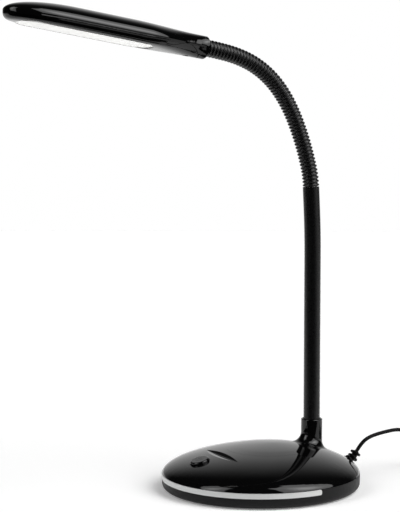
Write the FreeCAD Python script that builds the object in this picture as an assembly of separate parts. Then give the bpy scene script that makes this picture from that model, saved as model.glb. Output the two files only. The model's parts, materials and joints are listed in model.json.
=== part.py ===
import FreeCAD
import Part
import math
import os

# Gooseneck desk lamp with a long light head, in millimetres, Z up.
# The origin is the middle of the base on the table, the head reaches forward along -Y,
# the stem stands behind the middle and the cord leaves at the back, along +Y.

Vector = FreeCAD.Vector
Placement = FreeCAD.Placement
Rotation = FreeCAD.Rotation
ACROSS = Vector(1, 0, 0)
BACKWARD = Vector(0, 1, 0)
UP = Vector(0, 0, 1)

# Base: an oval tray under a domed shell
base_half_width = 80.0
base_half_length = 83.2
pad_stand_off = 0.8
seam_height = 13.5
tray_edge_round = 5.0
tray_wall = 2.4
shell_wall = 2.2
dome_rise = 23.0
dome_lean = 12.0
dome_plan_power = 1.65
dome_rise_power = 1.72
dome_top_angle = 80.0
dome_sections = 10
halving_steps = 40
base_seam_gap = 0.35
base_seam_depth = 0.6
lip_inset = 4.0
lip_thickness = 1.5
lip_height = 2.5
lip_overlap = 0.5

# Silver strip let into the tray's front
strip_height = 4.2
strip_thickness = 1.6
strip_proud = 0.3
strip_half_angle = 97.0
strip_end_round = 1.4
strip_clearance = 0.1
strip_end_clearance = 0.15

# Fixings, ballast and foam pad of the base
screw_post_x = 55.0
screw_post_y = 38.0
screw_post_radius = 4.5
screw_post_top = 9.0
screw_radius = 1.5
screw_head_radius = 3.0
screw_head_height = 2.0
screw_length = 11.0
screw_recess_rise = 1.4
screw_hole_clearance = 0.2
screw_head_clearance = 0.3
screw_bore_spare = 1.0
pad_radius = 58.0
pad_recess = 0.8
ballast_radius = 60.0
ballast_thickness = 5.0
ballast_clearance = 0.4

# Push button, standing square to the dome in front of the middle
button_from_front = 25.7
button_radius = 8.0
button_proud = 2.2
button_round = 1.2
button_gap = 0.35
button_flange_radius = 9.4
button_flange_top = -3.2
button_flange_thickness = 1.5
button_stem_length = 1.5
button_stem_radius = 2.5
button_guide_radius = 11.5
button_guide_depth = 9.0
plunger_radius = 1.75
plunger_length = 3.3
plunger_clearance = 0.1
plunger_bore_depth = 4.0
switch_gap = 2.0
switch_side = 12.0
switch_height = 5.0
switch_board_length = 31.0
switch_board_width = 18.0
board_thickness = 1.6
switch_post_x = 12.6
switch_post_radius = 2.4

# Moon-shaped groove behind the button
groove_from_front = 46.2
groove_depth = 1.6
groove_wall_run = 3.2
groove_ramp_run = 6.5

# Collar and stem
stem_from_back = 33.76
collar_radius = 9.0
collar_top = 54.0
collar_foot = 18.5
collar_fillet = 8.0
collar_rim_round = 0.8
collar_step_width = 0.8
collar_step_depth = 1.0
sleeve_radius = 6.9
sleeve_bore_radius = 5.5
sleeve_clearance = 0.05
sleeve_foot = 24.0
sleeve_straight_top = 192.0
sleeve_lean = 3.0
sleeve_bend_length = 40.0
sleeve_end_length = 18.0
stem_boss_radius = 12.0
stem_floor = 2.0
nipple_radius = 5.0
nipple_shoulder_length = 14.0
nipple_bore_radius = 2.4
nipple_foot = 13.5
washer_radius = 10.0
washer_thickness = 1.5
nut_flats = 16.0
nut_height = 5.0

# Gooseneck: ribbed hose over a core, in links that hinge in the grooves between ribs
link_bends = (11.5, 4.5, 4.5, 7.5, 11.0, 13.5, 13.5, 9.5, 3.0)
ribs_per_link = 6
rib_pitch = 3.05
rib_root_width = 1.7
rib_tip_width = 0.9
rib_radius = 7.0
hose_groove_radius = 5.9
hose_bore_radius = 4.7
hose_end_gap = 0.1
core_radius = 4.6
ball_radius = 3.6
ball_clearance = 0.08
ball_neck_radius = 2.2
socket_rim = 0.3
core_shoulder = 1.35
spigot_radius = 4.0
spigot_clearance = 0.05
bush_length = 11.0
ring_radius = 5.2
ring_thickness = 1.8
ring_gap = 0.1

# Light head, in its own frame: x across, y up, z towards the tip
head_wall = 2.0
head_length = 172.4
head_neck_radius = 9.2
head_half_width = 21.7
head_top = 10.6
head_neck_bottom = -9.4
head_bottom = -8.6
head_widest_height = -2.5
head_tip_height = -1.2
head_split_height = -4.6
# Where the head widens, rises, lifts and squares up behind the neck: start and end of each change
widening = (6.0, 57.0)
rising = (10.0, 70.0)
lifting = (25.0, 72.5)
squaring = (9.0, 68.0)
# Length over which the tip rounds off, seen from above, at the top and at the bottom, and how late
plan_rounding = (47.7, 2.8)
top_rounding = (56.8, 2.0)
bottom_rounding = (25.8, 10.6)
neck_roundness = 2.0
lower_roundness = 4.3
upper_roundness = 1.9
head_sections = 22
section_crowding = 1.8
tip_flat = 0.15
points_per_section = 32
section_edges = 4
outline_steps = 360
neck_end_round = 2.6
envelope_margin = 0.2
neck_bore_depth = 13.2
cavity_end_wall = 6.5
seam_gap = 0.4
seam_depth = 0.8
seam_points = (
    (7.0, -14.0),
    (7.0, -9.0),
    (11.5, -4.8),
    (16.5, -2.0),
    (21.5, -1.1),
    (31.0, -3.0),
    (45.0, head_split_height),
)
window_start = 49.0
window_end_margin = 12.0
window_half_width = 16.4
window_corner = 13.0
diffuser_recess = 0.3
diffuser_flange = 1.2
diffuser_flange_thickness = 1.0
diffuser_clearance = 0.1
led_board_half_width = 7.5
led_board_start_margin = 7.0
led_board_end_margin = 6.0
led_board_floor = 1.5
led_count = 16
led_length = 3.5
led_width = 2.8
led_height = 0.7
led_end_margin = 5.0
led_post_margin = 6.0
led_post_radius = 2.4
reflector_wall = 1.0
reflector_side_inset = 4.0
reflector_end_inset = 5.0
reflector_board_side = 1.5
reflector_board_end = 2.0
head_screw_place = 17.5
head_screw_post_radius = 3.0
head_screw_recess_radius = 2.5
head_screw_recess_depth = 2.4
head_screw_floor = 1.2
head_screw_post_wall = 1.7
head_screw_length = 8.0
head_lead_radius = 1.0
head_lead_side = 4.1
head_lead_height = 1.6
past_head = 20.0

# Driver board in the base
driver_half_width = 26.0
driver_front = -14.0
driver_back = 30.0
driver_height = 11.0
driver_post_inset = 4.0
driver_post_radius = 3.0
small_screw_radius = 1.2
small_screw_head_radius = 2.2
small_screw_head_height = 1.4
small_screw_length = 6.0
lead_radius = 1.3
lead_slack = 0.1
terminal_x = 16.0
terminal_half_width = 3.5
terminal_depth = 9.0
terminal_height = 8.0
terminal_entry_radius = 2.0
terminal_entry_depth = 3.0
connector_half_width = 5.0
connector_depth = 6.0
connector_rise = 3.0

# What stands on the driver board: centres with lengths, widths and heights, and cans with
# their centres, radii and heights
transformer_centre = (-11.0, 6.0)
bobbin_size = (16.0, 16.0, 3.0)
winding_size = (12.0, 12.0, 8.0)
chip_centre = (5.0, 10.5)
chip_size = (6.0, 5.0, 1.6)
fuse_centre = (-9.0, 20.5)
fuse_size = (10.0, 5.0, 4.0)
capacitor_can = (6.0, -3.0, 4.0, 10.0)
inductor_can = (16.0, 6.0, 4.5, 6.0)

# Cord, its strain relief, coil and plug
cord_radius = 1.6
relief_exit_proud = 0.8
relief_bend_radius = 11.0
relief_bend = 54.0
relief_end_length = 3.5
relief_radius = 2.7
relief_hole_depth = 12.0
relief_rib_radius = 4.7
relief_rib_thickness = 1.8
relief_rib_round = 0.7
relief_rib_turns = (17.4, 40.9)
relief_last_rib = 2.0
relief_flange_radius = 4.6
relief_flange_thickness = 1.5
relief_flange_gap = 0.4
relief_outer_thickness = 1.2
relief_outer_gap = 0.1
tie_thickness = 0.8
tie_width = 4.0
tie_gap = 0.15
coil_layers = 4
coil_turns_per_layer = 3
coil_turns = 11.25
coil_outer_radius = 24.5
coil_pitch = 3.7
coil_start_back = 196.0
coil_end_run = 3.2
coil_probe_step = 1.5
plug_length = 34.0
plug_width = 24.0
plug_thickness = 13.6
plug_round = 3.0
plug_neck_length = 9.0
plug_neck_radius = 4.4
plug_neck_tip_radius = 2.5
pin_radius = 2.0
pin_length = 19.0
pin_spacing = 19.0
pin_round = 1.2

# Small amount by which a cutting tool passes the face it cuts through
pass_through = 5.0

# Size of a cutting tool that reaches past the whole base or head
past_everything = 2 * base_half_width

button_forward = base_half_length - button_from_front
groove_forward = base_half_length - groove_from_front
stem_back = base_half_length - stem_from_back
relief_exit = base_half_length + relief_exit_proud
tray_floor_top = pad_stand_off + tray_wall
screw_seat = tray_floor_top + screw_recess_rise
lip_inner_face = base_half_length - lip_inset - lip_thickness
relief_inner_end = lip_inner_face - relief_flange_thickness - relief_flange_gap
cord_height = tie_thickness + tie_gap + cord_radius
link_length = ribs_per_link * rib_pitch


def save(name, shape):
    shape.exportStep("parts/" + name + ".step")


def cylinder(radius, start, end):
    run = end - start
    return Part.makeCylinder(radius, run.Length, start, run)


def post(radius, x, y, low, high):
    return Part.makeCylinder(radius, high - low, Vector(x, y, low))


def block(x_low, x_high, y_low, y_high, z_low, z_high):
    return Part.makeBox(x_high - x_low, y_high - y_low, z_high - z_low, Vector(x_low, y_low, z_low))


def fused(shapes):
    shapes = list(shapes)
    whole = shapes[0].multiFuse(shapes[1:]) if len(shapes) > 1 else shapes[0]
    return whole.removeSplitter()


def placed(shape, place):
    moved = shape.copy()
    moved.Placement = place.multiply(shape.Placement)
    return moved


def corners(x, y):
    return [(side * x, end * y) for side in (-1, 1) for end in (-1, 1)]


# Ovals and the dome

def oval(half_x, half_y, back, height):
    centre = Vector(0, back, height)
    side = Vector(half_x, back, height)
    end = Vector(0, back + half_y, height)
    if half_x > half_y:
        return Part.Wire(Part.Ellipse(side, end, centre).toShape())
    return Part.Wire(Part.Ellipse(end, side, centre).toShape())


def oval_block(inset, low, high):
    rim = oval(base_half_width - inset, base_half_length - inset, 0, low)
    return Part.Face(rim).extrude(Vector(0, 0, high - low))


def dome_curve(turn):
    """Share of the base's width, and of the dome's height, where the curve has turned by this angle."""
    reach = (math.cos(turn) ** 2) ** (1 / dome_plan_power)
    climb = (math.sin(turn) ** 2) ** (1 / dome_rise_power)
    return reach, climb


def dome(inset):
    """Solid dome above the seam, its crown leaning to the back, drawn in all round by the inset."""
    rims = []
    for step in range(dome_sections):
        turn = math.radians(dome_top_angle) * step / (dome_sections - 1)
        reach, climb = dome_curve(turn)
        half_x = (base_half_width - inset) * reach
        half_y = (base_half_length - inset) * reach
        rims.append(oval(half_x, half_y, dome_lean * climb ** 3, seam_height + (dome_rise - inset) * climb))
    return Part.makeLoft(rims, True)


def dome_height(forward):
    """Height of the dome's surface on the centreline, this far in front of the middle."""
    low, high = 0.0, math.pi / 2
    for _ in range(halving_steps):
        turn = (low + high) / 2
        reach, climb = dome_curve(turn)
        if base_half_length * reach - dome_lean * climb ** 3 > forward:
            low = turn
        else:
            high = turn
    return seam_height + dome_rise * climb


def dome_slope(forward):
    """Angle in degrees by which the dome's surface falls towards the front."""
    fall = dome_height(forward - 1) - dome_height(forward + 1)
    return math.degrees(math.atan2(fall, 2))


button_place = Placement(
    Vector(0, -button_forward, dome_height(button_forward)),
    Rotation(ACROSS, dome_slope(button_forward)),
)


# The stem's and neck's centreline: places with z along it and x across the lamp

def arc_place(place, bend, length):
    """Place reached after an arc of this length that leans forward by this many degrees."""
    if abs(bend) < 1e-9:
        return placed_along(place, length)
    radius = length / math.radians(bend)
    turn = math.radians(bend)
    step = Vector(0, -radius * (1 - math.cos(turn)), radius * math.sin(turn))
    return place.multiply(Placement(step, Rotation(ACROSS, bend)))


def placed_along(place, length):
    return place.multiply(Placement(Vector(0, 0, length), Rotation()))


def neck_joint_places():
    """Places of the joints, from the sleeve's top to the head."""
    bend_start = Placement(Vector(0, stem_back, sleeve_straight_top), Rotation())
    bend_end = arc_place(bend_start, sleeve_lean, sleeve_bend_length)
    places = [placed_along(bend_end, sleeve_end_length)]
    for bend in link_bends:
        places.append(arc_place(places[-1], bend, link_length))
    return places


neck_places = neck_joint_places()
head_place = neck_places[-1]


def ring_wire(radius, place):
    circle = Part.Circle(Vector(0, 0, 0), UP, radius).toShape()
    circle.Placement = place
    return Part.Wire(circle)


def cylinder_in(place, radius, low, high):
    return placed(Part.makeCylinder(radius, high - low, Vector(0, 0, low)), place)


def ball_in(place, radius):
    return Part.makeSphere(radius, place.Base)


# Base shell, tray and what they hold

def collar_edges(shape, low, high):
    """Edges that run round the collar's outside, between two heights."""
    found = []
    for edge in shape.Edges:
        box = edge.BoundBox
        centred = abs(box.Center.y - stem_back) < collar_radius / 4
        round_collar = centred and collar_radius < box.XLength < 2.2 * collar_radius
        if round_collar and low < box.ZMin and box.ZMax < high:
            found.append(edge)
    return found


def stem_collar_body():
    """Dome with its collar, solid inside, flared where the two meet."""
    collar = post(collar_radius, 0, stem_back, collar_foot, collar_top)
    body = dome(0).fuse(collar)
    meeting = collar_edges(body, collar_foot + 0.1, collar_top - 0.1)
    body = body.makeFillet(collar_fillet, meeting)
    rim = collar_edges(body, collar_top - 0.1, collar_top + 0.1)
    return body.makeFillet(collar_rim_round, rim)


def groove_cutter():
    """Long prism whose steep back and shallow front leave a moon shape on the dome."""
    bottom = dome_height(groove_forward) - groove_depth
    back = Vector(0, groove_wall_run - groove_forward, bottom + groove_depth + 1.2)
    low = Vector(0, -groove_forward, bottom)
    front_height = dome_height(groove_forward + groove_ramp_run)
    front = Vector(0, -groove_forward - groove_ramp_run, front_height)
    beyond = low + (front - low) * 3
    above = Vector(0, beyond.y, back.z + 10)
    top = Vector(0, back.y, back.z + 10)
    outline = Part.makePolygon([low, beyond, above, top, back, low])
    prism = Part.Face(outline).extrude(ACROSS * past_everything)
    prism.translate(ACROSS * (-past_everything / 2))
    return prism


def relief_hole():
    start = Vector(0, base_half_length - relief_hole_depth, seam_height)
    return cylinder(relief_radius, start, start + BACKWARD * 2 * relief_hole_depth)


def button_opening():
    """Space for the button: a bore, and a wider seat for its flange from below."""
    bore = Part.makeCylinder(button_radius + button_gap, 2 * pass_through, Vector(0, 0, -pass_through))
    seat_radius = button_flange_radius + button_gap
    seat_depth = button_guide_depth + pass_through
    seat = Part.makeCylinder(seat_radius, seat_depth, Vector(0, 0, button_flange_top - seat_depth))
    return placed(bore.fuse(seat), button_place)


plunger_top = button_flange_top - button_flange_thickness - button_stem_length
switch_top = plunger_top - switch_gap
switch_board_top = switch_top - switch_height


def switch_posts(radius, low, high):
    return [
        placed(post(radius, side * switch_post_x, 0, low, high), button_place)
        for side in (-1, 1)
    ]


def base_seam_groove():
    """Shallow step round the shell's lower edge, which shows as a dark line above the tray."""
    top = seam_height + base_seam_gap
    return oval_block(-1, seam_height - 1, top).cut(oval_block(base_seam_depth, seam_height - 2, top + 1))


def make_base_shell():
    body = stem_collar_body()
    stem_boss = post(stem_boss_radius, 0, stem_back, sleeve_foot - stem_floor, collar_top - 10)
    guide = placed(
        Part.makeCylinder(button_guide_radius, button_guide_depth + 3, Vector(0, 0, -button_guide_depth)),
        button_place,
    )
    posts = [
        post(screw_post_radius, x, y, screw_post_top, seam_height + dome_rise)
        for x, y in corners(screw_post_x, screw_post_y)
    ]
    inner = fused([stem_boss, guide] + posts + switch_posts(switch_post_radius, switch_board_top, 3))
    over_seam = oval_block(0, -pass_through, seam_height)
    inner = inner.common(body.fuse(over_seam))
    shell = body.cut(dome(shell_wall)).fuse(inner).cut(base_seam_groove())
    fixing_bores = [
        post(screw_radius, x, y, 0, screw_seat + screw_length + screw_bore_spare)
        for x, y in corners(screw_post_x, screw_post_y)
    ]
    step_floor = collar_top - collar_step_depth
    over_collar = collar_top + pass_through
    sleeve_bore = post(sleeve_radius + sleeve_clearance, 0, stem_back, sleeve_foot, over_collar)
    step_bore = post(sleeve_radius + collar_step_width, 0, stem_back, step_floor, over_collar)
    nipple_bore = post(nipple_radius + sleeve_clearance, 0, stem_back, 0, sleeve_foot)
    switch_bores = switch_posts(small_screw_radius, switch_board_top, switch_board_top + small_screw_length)
    for tool in [sleeve_bore, step_bore, nipple_bore, button_opening(), groove_cutter(), relief_hole()]:
        shell = shell.cut(tool)
    return shell.cut(Part.makeCompound(fixing_bores + switch_bores)).removeSplitter()


def strip_sector(inset, outset, low, high, half_angle):
    """Part of an oval band round the front, as far as this angle to each side."""
    band = oval_block(-outset, low, high).cut(oval_block(inset, low - 1, high + 1))
    reach = 3 * base_half_length
    side = reach * math.sin(math.radians(half_angle))
    back = -reach * math.cos(math.radians(half_angle))
    outline = [
        Vector(0, 0, low - 1), Vector(side, back, low - 1), Vector(side, reach, low - 1),
        Vector(-side, reach, low - 1), Vector(-side, back, low - 1), Vector(0, 0, low - 1),
    ]
    rear = Part.Face(Part.makePolygon(outline)).extrude(Vector(0, 0, high - low + 2))
    return band.cut(rear)


def make_trim_strip():
    low = seam_height - strip_height
    strip = strip_sector(strip_thickness, strip_proud, low, seam_height, strip_half_angle)
    ends = [
        edge for edge in strip.Edges
        if edge.BoundBox.ZLength < 0.01 and edge.Length < 2 * strip_thickness + strip_proud
    ]
    return strip.makeFillet(strip_end_round, ends)


def make_base_tray():
    body = oval_block(0, pad_stand_off, seam_height)
    lower_rim = [edge for edge in body.Edges if edge.BoundBox.ZMax < pad_stand_off + 0.1]
    body = body.makeFillet(tray_edge_round, lower_rim)
    hollow = oval_block(tray_wall, tray_floor_top, seam_height + 1)
    hollow_rim = [edge for edge in hollow.Edges if edge.BoundBox.ZMax < tray_floor_top + 0.1]
    hollow = hollow.makeFillet(tray_edge_round - tray_wall, hollow_rim)
    lip_low = tray_floor_top + tray_edge_round
    lip = oval_block(lip_inset, lip_low, seam_height + lip_height)
    lip = lip.cut(oval_block(lip_inset + lip_thickness, lip_low - 1, seam_height + lip_height + 1))
    lip_floor = oval_block(tray_wall - lip_overlap, lip_low, seam_height)
    lip_floor = lip_floor.cut(oval_block(lip_inset + lip_overlap, lip_low - 1, seam_height + 1))
    tray = body.cut(hollow)
    posts = [
        post(screw_post_radius, x, y, pad_stand_off, screw_post_top)
        for x, y in corners(screw_post_x, screw_post_y)
    ]
    posts += [post(driver_post_radius, x, y, pad_stand_off, driver_height) for x, y in driver_posts()]
    tray = fused([tray, lip, lip_floor] + posts)
    bores = []
    for x, y in corners(screw_post_x, screw_post_y):
        bores.append(post(screw_radius + screw_hole_clearance, x, y, 0, seam_height))
        bores.append(post(screw_head_radius + screw_head_clearance, x, y, 0, screw_seat))
    bores.append(post(pad_radius, 0, 0, 0, pad_stand_off + pad_recess))
    bores += [
        post(small_screw_radius, x, y, driver_height - small_screw_length, driver_height)
        for x, y in driver_posts()
    ]
    low = seam_height - strip_height - strip_clearance
    seat_half_angle = strip_half_angle + strip_end_clearance
    strip_seat = strip_sector(strip_thickness, 1, low, seam_height + 1, seat_half_angle)
    tray = tray.cut(Part.makeCompound(bores)).cut(strip_seat).cut(relief_hole())
    return tray.removeSplitter()


def make_base_screws():
    return Part.makeCompound([
        fused([
            post(screw_head_radius, x, y, screw_seat - screw_head_height, screw_seat),
            post(screw_radius, x, y, screw_seat, screw_seat + screw_length),
        ])
        for x, y in corners(screw_post_x, screw_post_y)
    ])


def make_foot_pad():
    return post(pad_radius, 0, 0, 0, pad_stand_off + pad_recess)


def make_ballast():
    plate = post(ballast_radius, 0, 0, tray_floor_top, tray_floor_top + ballast_thickness)
    holes = [post(driver_post_radius + ballast_clearance, x, y, 0, seam_height) for x, y in driver_posts()]
    return plate.cut(Part.makeCompound(holes))


# Button and switch

def make_button():
    cap_low = button_flange_top - button_flange_thickness
    cap = Part.makeCylinder(button_radius, button_proud - cap_low, Vector(0, 0, cap_low))
    rim = [edge for edge in cap.Edges if edge.BoundBox.ZMin > button_proud - 0.1]
    cap = cap.makeFillet(button_round, rim)
    flange = Part.makeCylinder(button_flange_radius, button_flange_thickness, Vector(0, 0, cap_low))
    stem_low = Vector(0, 0, cap_low - button_stem_length)
    stem = Part.makeCylinder(button_stem_radius, button_stem_length, stem_low)
    return placed(fused([cap, flange, stem]), button_place)


def make_plunger():
    low = plunger_top - plunger_length
    return placed(Part.makeCylinder(plunger_radius, plunger_length, Vector(0, 0, low)), button_place)


def make_switch_body():
    half = switch_side / 2
    body = block(-half, half, -half, half, switch_board_top, switch_top)
    bore = post(plunger_radius + plunger_clearance, 0, 0, switch_top - plunger_bore_depth, switch_top + 1)
    return placed(body.cut(bore), button_place)


def make_switch_board():
    half_x = switch_board_length / 2
    half_y = switch_board_width / 2
    low = switch_board_top - board_thickness
    board = block(-half_x, half_x, -half_y, half_y, low, switch_board_top)
    holes = [
        post(small_screw_radius, side * switch_post_x, 0, low - 1, switch_board_top + 1) for side in (-1, 1)
    ]
    return placed(board.cut(Part.makeCompound(holes)), button_place)


def small_screw(x, y, seat):
    """Screw under or over a board: its head's flat side is at the seat, its shank goes up from there."""
    head = post(small_screw_head_radius, x, y, seat - small_screw_head_height, seat)
    return head.fuse(post(small_screw_radius, x, y, seat, seat + small_screw_length))


def make_switch_screws():
    seat = switch_board_top - board_thickness
    screws = [small_screw(side * switch_post_x, 0, seat) for side in (-1, 1)]
    return placed(Part.makeCompound(screws), button_place)


# Driver board

def driver_posts():
    half_x = driver_half_width - driver_post_inset
    return [
        (side * half_x, y)
        for side in (-1, 1)
        for y in (driver_front + driver_post_inset, driver_back - driver_post_inset)
    ]


driver_top = driver_height + board_thickness


def make_driver_board():
    side = driver_half_width
    board = block(-side, side, driver_front, driver_back, driver_height, driver_top)
    holes = [post(small_screw_radius, x, y, 0, driver_top + 1) for x, y in driver_posts()]
    return board.cut(Part.makeCompound(holes))


def make_driver_screws():
    screws = []
    for x, y in driver_posts():
        head = post(small_screw_head_radius, x, y, driver_top, driver_top + small_screw_head_height)
        shank = post(small_screw_radius, x, y, driver_top - small_screw_length, driver_top)
        screws.append(head.fuse(shank))
    return Part.makeCompound(screws)


def box_on(centre, size, low):
    """Box of this length, width and height that stands at a height, round a centre."""
    x, y = centre
    length, width, height = size
    return block(x - length / 2, x + length / 2, y - width / 2, y + width / 2, low, low + height)


def make_driver_components():
    bobbin_top = driver_top + bobbin_size[2]
    transformer = fused([
        box_on(transformer_centre, bobbin_size, driver_top),
        box_on(transformer_centre, winding_size, bobbin_top),
    ])
    cans = [
        post(radius, x, y, driver_top, driver_top + height)
        for x, y, radius, height in (capacitor_can, inductor_can)
    ]
    chip = box_on(chip_centre, chip_size, driver_top)
    fuse = box_on(fuse_centre, fuse_size, driver_top)
    return Part.makeCompound([transformer, chip, fuse] + cans)


terminal_entry = Vector(terminal_x, driver_back - terminal_entry_depth, driver_top + terminal_height / 2)


def make_terminal_block():
    body = block(
        terminal_x - terminal_half_width, terminal_x + terminal_half_width,
        driver_back - terminal_depth, driver_back, driver_top, driver_top + terminal_height,
    )
    entry_end = terminal_entry + BACKWARD * terminal_depth
    return body.cut(cylinder(terminal_entry_radius, terminal_entry, entry_end))


def make_lead_connector():
    return block(
        -connector_half_width, connector_half_width, driver_back, driver_back + connector_depth,
        tray_floor_top + ballast_thickness, driver_top + connector_rise,
    )


# Leads and cords: straight runs joined by tangent arcs

def run_directions(points):
    return [(after - before).normalize() for before, after in zip(points, points[1:])]


def corner_radii(points):
    """Radius of the arc at each inner point, from the shorter of its two runs."""
    directions = run_directions(points)
    lengths = [(after - before).Length for before, after in zip(points, points[1:])]
    radii = []
    for index in range(1, len(points) - 1):
        turn = directions[index - 1].getAngle(directions[index])
        radii.append(0.45 * min(lengths[index - 1], lengths[index]) / math.tan(turn / 2))
    return radii


def route_wire(points):
    directions = run_directions(points)
    edges = []
    last = points[0]
    for index, radius in enumerate(corner_radii(points), start=1):
        before, after = directions[index - 1], directions[index]
        half_turn = before.getAngle(after) / 2
        setback = radius * math.tan(half_turn)
        arc_start = points[index] - before * setback
        arc_end = points[index] + after * setback
        inward = (after - before).normalize()
        arc_middle = points[index] + inward * (radius / math.cos(half_turn) - radius)
        edges.append(Part.LineSegment(last, arc_start).toShape())
        edges.append(Part.Arc(arc_start, arc_middle, arc_end).toShape())
        last = arc_end
    edges.append(Part.LineSegment(last, points[-1]).toShape())
    return Part.Wire(edges)


def tube(name, points, radius):
    path = route_wire(points)
    section = Part.Wire(Part.Circle(points[0], points[1] - points[0], radius).toShape())
    solid = path.makePipeShell([section], True, False)
    ratio = solid.Volume / (math.pi * radius ** 2 * path.Length)
    radii = ", ".join("%.1f" % value for value in corner_radii(points))
    figures = (name, path.Length, ratio, radii)
    print("%s: length %.1f, volume over section times length %.4f, radii %s" % figures)
    return solid


def lead_route_to_head():
    ring_bottom = -bush_length - ring_gap - ring_thickness
    top = placed_along(neck_places[0], ring_bottom).Base
    bend_start = placed_along(neck_places[0], -sleeve_end_length).Base
    low = tray_floor_top + ballast_thickness + lead_radius + lead_slack
    return [
        top,
        bend_start,
        Vector(0, stem_back, sleeve_straight_top - 30),
        Vector(0, stem_back - lead_slack, 40),
        Vector(0, stem_back, low),
        Vector(0, driver_back + connector_depth, low),
    ]


def cord_inner_route():
    return [
        Vector(0, relief_inner_end, seam_height),
        Vector(0, relief_inner_end - 8, seam_height),
        Vector(terminal_x, stem_back + 6, terminal_entry.z - 1),
        Vector(terminal_x, stem_back - 8, terminal_entry.z),
        terminal_entry,
    ]


def switch_lead_route():
    edge = Vector(0, switch_board_width / 2, switch_board_top - board_thickness / 2)
    level = driver_height + board_thickness / 2
    return [
        button_place.multVec(edge),
        button_place.multVec(edge + BACKWARD * 8),
        Vector(0, driver_front - 9, level),
        Vector(0, driver_front, level),
    ]


# Stem

def make_sleeve():
    straight = post(sleeve_radius, 0, stem_back, sleeve_foot, sleeve_straight_top)
    straight = straight.cut(post(sleeve_bore_radius, 0, stem_back, sleeve_foot, sleeve_straight_top))
    annulus = Part.Face([
        ring_wire(sleeve_radius, Placement(Vector(0, stem_back, sleeve_straight_top), Rotation())),
        ring_wire(sleeve_bore_radius, Placement(Vector(0, stem_back, sleeve_straight_top), Rotation())),
    ])
    bend_radius = sleeve_bend_length / math.radians(sleeve_lean)
    centre = Vector(0, stem_back - bend_radius, sleeve_straight_top)
    bend = annulus.revolve(centre, ACROSS, sleeve_lean)
    end = cylinder_in(neck_places[0], sleeve_radius, -sleeve_end_length, 0)
    end = end.cut(cylinder_in(neck_places[0], sleeve_bore_radius, -sleeve_end_length, 0))
    return fused([straight, bend, end])


def make_nipple():
    shoulder = post(sleeve_bore_radius, 0, stem_back, sleeve_foot, sleeve_foot + nipple_shoulder_length)
    shank = post(nipple_radius, 0, stem_back, nipple_foot, sleeve_foot)
    bore = post(nipple_bore_radius, 0, stem_back, 0, collar_top)
    return shoulder.fuse(shank).cut(bore)


def make_washer():
    top = sleeve_foot - stem_floor
    washer = post(washer_radius, 0, stem_back, top - washer_thickness, top)
    return washer.cut(post(nipple_radius, 0, stem_back, 0, collar_top))


def make_nut():
    top = sleeve_foot - stem_floor - washer_thickness
    circle_radius = nut_flats / 2 / math.cos(math.pi / 6)
    points = [
        Vector(
            circle_radius * math.cos(math.radians(60 * side)),
            stem_back + circle_radius * math.sin(math.radians(60 * side)),
            top - nut_height,
        )
        for side in range(7)
    ]
    nut = Part.Face(Part.makePolygon(points)).extrude(Vector(0, 0, nut_height))
    return nut.cut(post(nipple_radius, 0, stem_back, 0, collar_top))


# Gooseneck links

def rib_rings(start):
    """Four rings of each rib of one link, from its root over its tip to its root."""
    rings = []
    for rib in range(ribs_per_link):
        middle = (rib + 0.5) * rib_pitch
        rings += [
            (middle - rib_root_width / 2, hose_groove_radius),
            (middle - rib_tip_width / 2, rib_radius),
            (middle + rib_tip_width / 2, rib_radius),
            (middle + rib_root_width / 2, hose_groove_radius),
        ]
    if start:
        return [(hose_end_gap, hose_groove_radius)] + rings
    return rings


def link_place(link, distance):
    bend = link_bends[link]
    return arc_place(neck_places[link], bend * distance / link_length, distance)


def link_loft(link, rings):
    wires = [ring_wire(radius, link_place(link, distance)) for distance, radius in rings]
    return Part.makeLoft(wires, True, True)


def make_hose_link(link):
    rings = rib_rings(link == 0)
    if link == len(link_bends) - 1:
        rings.append((link_length - hose_end_gap, hose_groove_radius))
    steps = [0] + [(rib + 0.5) * rib_pitch for rib in range(ribs_per_link)] + [link_length]
    bore = link_loft(link, [(distance, hose_bore_radius) for distance in steps])
    return link_loft(link, rings).cut(bore)


def make_core_link(link):
    """Bendable core of one link: a ball at its upper end and a cup for the ball below."""
    first = link == 0
    last = link == len(link_bends) - 1
    low = hose_end_gap if first else socket_rim
    high = link_length - hose_end_gap if last else link_length - core_shoulder
    steps = [low] + [(rib + 0.5) * rib_pitch for rib in range(ribs_per_link)] + [high]
    body = link_loft(link, [(distance, core_radius) for distance in steps])
    spigot_length = bush_length + ring_gap + ring_thickness
    if first:
        body = body.fuse(cylinder_in(neck_places[0], spigot_radius, -spigot_length, low + 1))
    else:
        body = body.cut(ball_in(neck_places[link], ball_radius + ball_clearance))
    if last:
        body = body.fuse(cylinder_in(head_place, spigot_radius, -hose_end_gap - 1, spigot_length))
    else:
        neck = cylinder_in(neck_places[link + 1], ball_neck_radius, -core_shoulder - 1, 0)
        body = fused([body, neck, ball_in(neck_places[link + 1], ball_radius)])
    return body


def make_bush(place, towards):
    """Bearing tube for a spigot, on this side of the joint: -1 below it, 1 above it."""
    low, high = sorted((0, towards * bush_length))
    body = cylinder_in(place, sleeve_bore_radius, low, high)
    return body.cut(cylinder_in(place, spigot_radius + spigot_clearance, low, high))


def make_retaining_ring(place, towards):
    near = bush_length + ring_gap
    low, high = sorted((towards * near, towards * (near + ring_thickness)))
    body = cylinder_in(place, ring_radius, low, high)
    return body.cut(cylinder_in(place, spigot_radius, low, high))


# Light head, drawn in its own frame and then placed on the neck's end

def eased(distance, change, before, after):
    """Value that goes gently from one to the other over this stretch of the head."""
    share = (distance - change[0]) / (change[1] - change[0])
    share = min(max(share, 0.0), 1.0)
    return before + (after - before) * share * share * (3 - 2 * share)


def into_tip(distance, length):
    return max(0.0, 1 - (head_length - distance) / length)


def tip_share(distance, rounding):
    """Share of its full reach that an outline keeps at this distance, as the tip rounds off."""
    length, lateness = rounding
    return math.sqrt(1 - into_tip(distance, length) ** lateness)


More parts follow.
